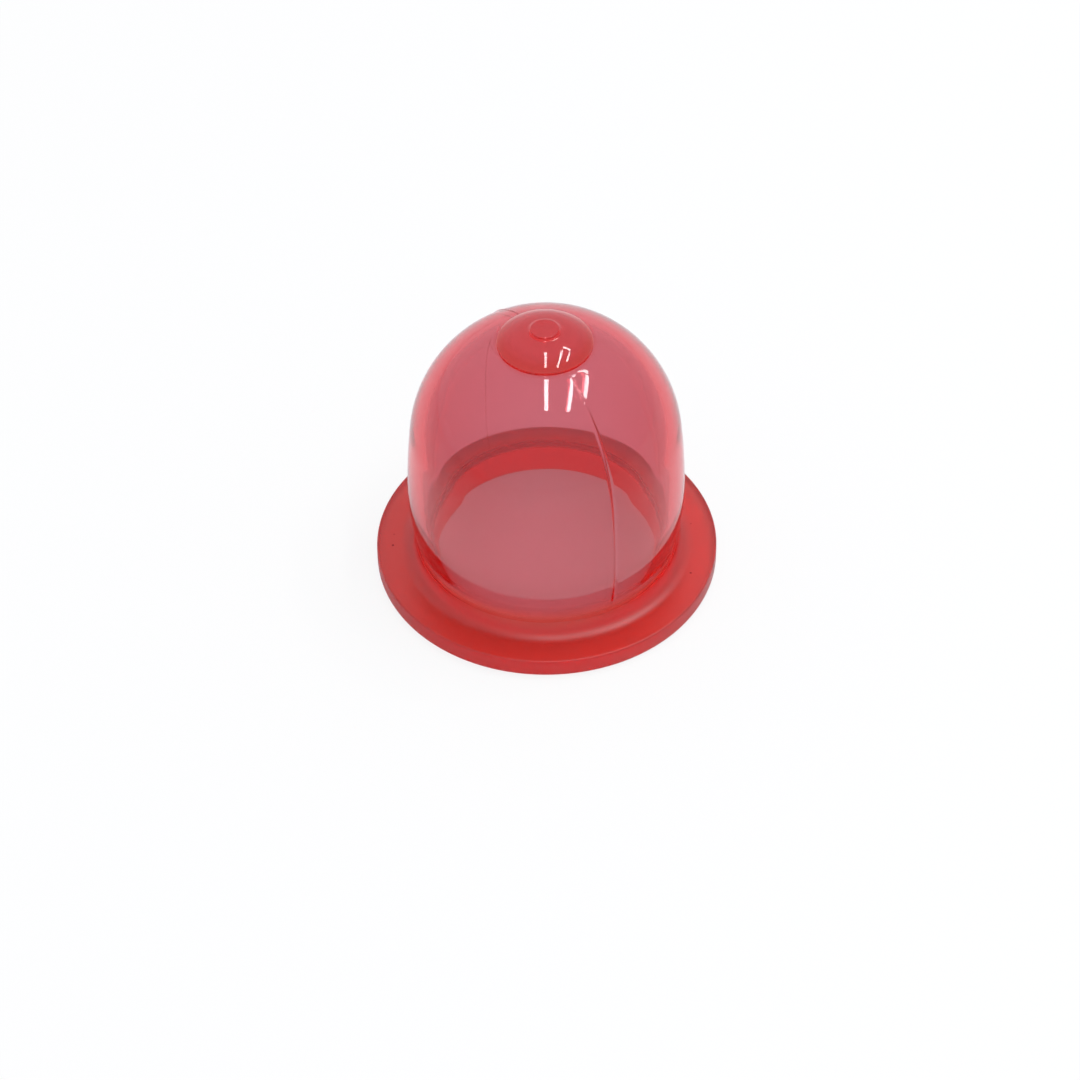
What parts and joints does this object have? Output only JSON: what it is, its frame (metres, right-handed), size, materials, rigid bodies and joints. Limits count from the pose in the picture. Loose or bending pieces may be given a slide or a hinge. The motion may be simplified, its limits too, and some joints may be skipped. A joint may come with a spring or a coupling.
{
  "type": "primer bulb",
  "caption": "Clear red domed primer bulb with a round base flange and a raised push pad at its crown, moulded in one piece, open underneath.",
  "frame": {"origin": "centre of the flange's underside", "axes": "+Z along the bulb's axis, towards the push pad; -Y is the side that the picture looks at, with the parting ridge 29 degrees from it towards +X"},
  "size_m": [0.022, 0.022, 0.0197],
  "materials": {
    "clear_red_polyurethane": "smooth glossy see-through elastomer, red"
  },
  "bodies": {
    "root": {"primer_bulb": "clear_red_polyurethane"}
  },
  "joints": []
}
